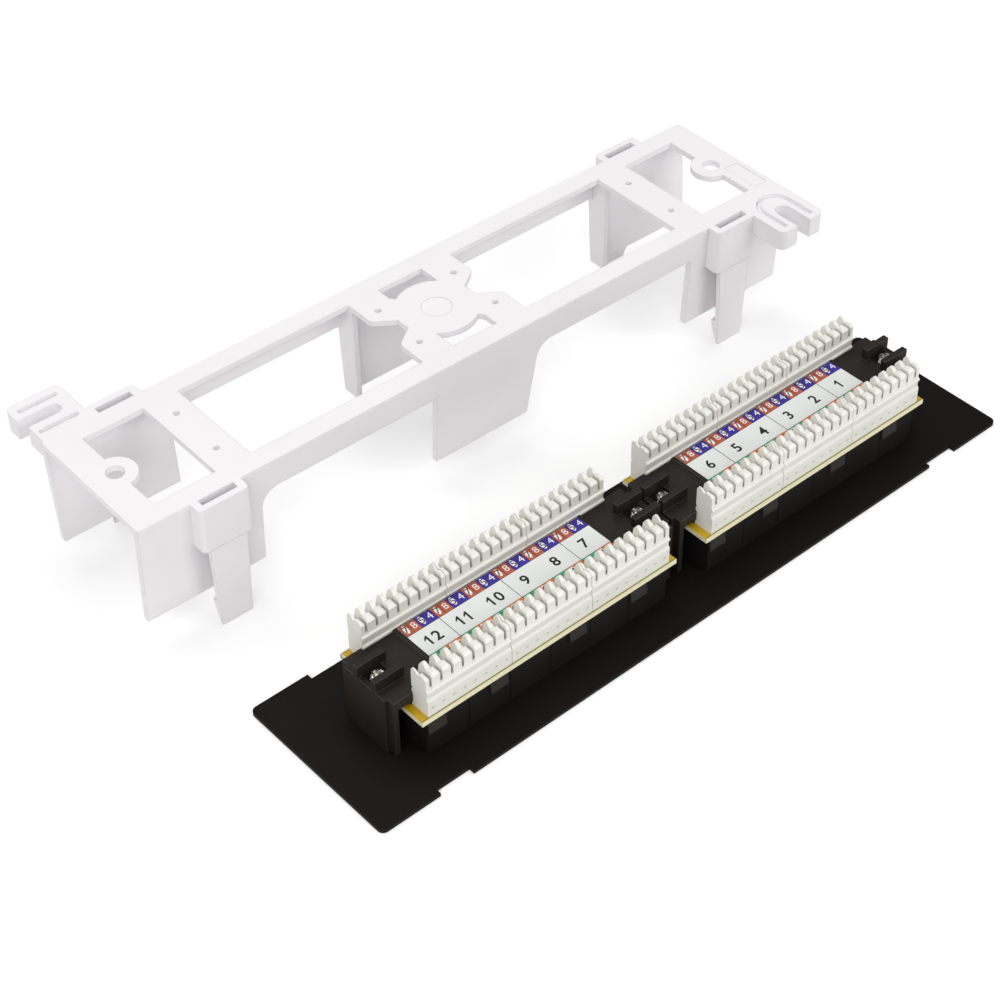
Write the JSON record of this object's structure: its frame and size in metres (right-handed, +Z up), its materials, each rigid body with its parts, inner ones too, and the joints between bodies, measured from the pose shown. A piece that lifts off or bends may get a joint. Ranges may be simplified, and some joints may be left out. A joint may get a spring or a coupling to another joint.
{
  "type": "vertical patch panel",
  "caption": "Small vertical patch panel with modular sockets and punch-down contact rows on a steel face plate, its clip-on stand-off bracket unclipped and set down behind it.",
  "frame": {"origin": "middle of the face plate's front face, on the surface it lies on", "axes": "+X along the plate, +Y towards the bracket behind, +Z up, out of the punch-down side"},
  "size_m": [0.2598, 0.1671, 0.047],
  "materials": {
    "plate_black": "fine black powder coat",
    "post_metal": "plated steel",
    "screw_metal": "bright nickel plate",
    "board": "glass-fibre laminate with yellow mask",
    "cover_black": "satin black plastic",
    "label_print": "printed label film",
    "jack_black": "satin black plastic",
    "contact_gold": "gold-plated spring wire",
    "block_ivory": "ivory polycarbonate",
    "clip_metal": "tinned bronze strip",
    "bracket_white": "satin white plastic"
  },
  "bodies": {
    "root": {"circuit_board_left": "board", "circuit_board_right": "board", "contact_clips_01": "clip_metal", "contact_clips_02": "clip_metal", "contact_clips_03": "clip_metal", "contact_clips_04": "clip_metal", "contact_clips_05": "clip_metal", "contact_clips_06": "clip_metal", "contact_clips_07": "clip_metal", "contact_clips_08": "clip_metal", "contact_clips_09": "clip_metal", "contact_clips_10": "clip_metal", "contact_clips_11": "clip_metal", "contact_clips_12": "clip_metal", "cover_left": "cover_black", "cover_right": "cover_black", "face_plate": "plate_black", "jack_01": "jack_black", "jack_02": "jack_black", "jack_03": "jack_black", "jack_04": "jack_black", "jack_05": "jack_black", "jack_06": "jack_black", "jack_07": "jack_black", "jack_08": "jack_black", "jack_09": "jack_black", "jack_10": "jack_black", "jack_11": "jack_black", "jack_12": "jack_black", "jack_contacts_01": "contact_gold", "jack_contacts_02": "contact_gold", "jack_contacts_03": "contact_gold", "jack_contacts_04": "contact_gold", "jack_contacts_05": "contact_gold", "jack_contacts_06": "contact_gold", "jack_contacts_07": "contact_gold", "jack_contacts_08": "contact_gold", "jack_contacts_09": "contact_gold", "jack_contacts_10": "contact_gold", "jack_contacts_11": "contact_gold", "jack_contacts_12": "contact_gold", "label_left": "label_print", "label_right": "label_print", "module_posts": "post_metal", "module_screws": "screw_metal", "punch_down_block_01": "block_ivory", "punch_down_block_02": "block_ivory", "punch_down_block_03": "block_ivory", "punch_down_block_04": "block_ivory", "punch_down_block_05": "block_ivory", "punch_down_block_06": "block_ivory", "punch_down_block_07": "block_ivory", "punch_down_block_08": "block_ivory", "punch_down_block_09": "block_ivory", "punch_down_block_10": "block_ivory", "punch_down_block_11": "block_ivory", "punch_down_block_12": "block_ivory", "standoff_bracket": "bracket_white"}
  },
  "joints": []
}
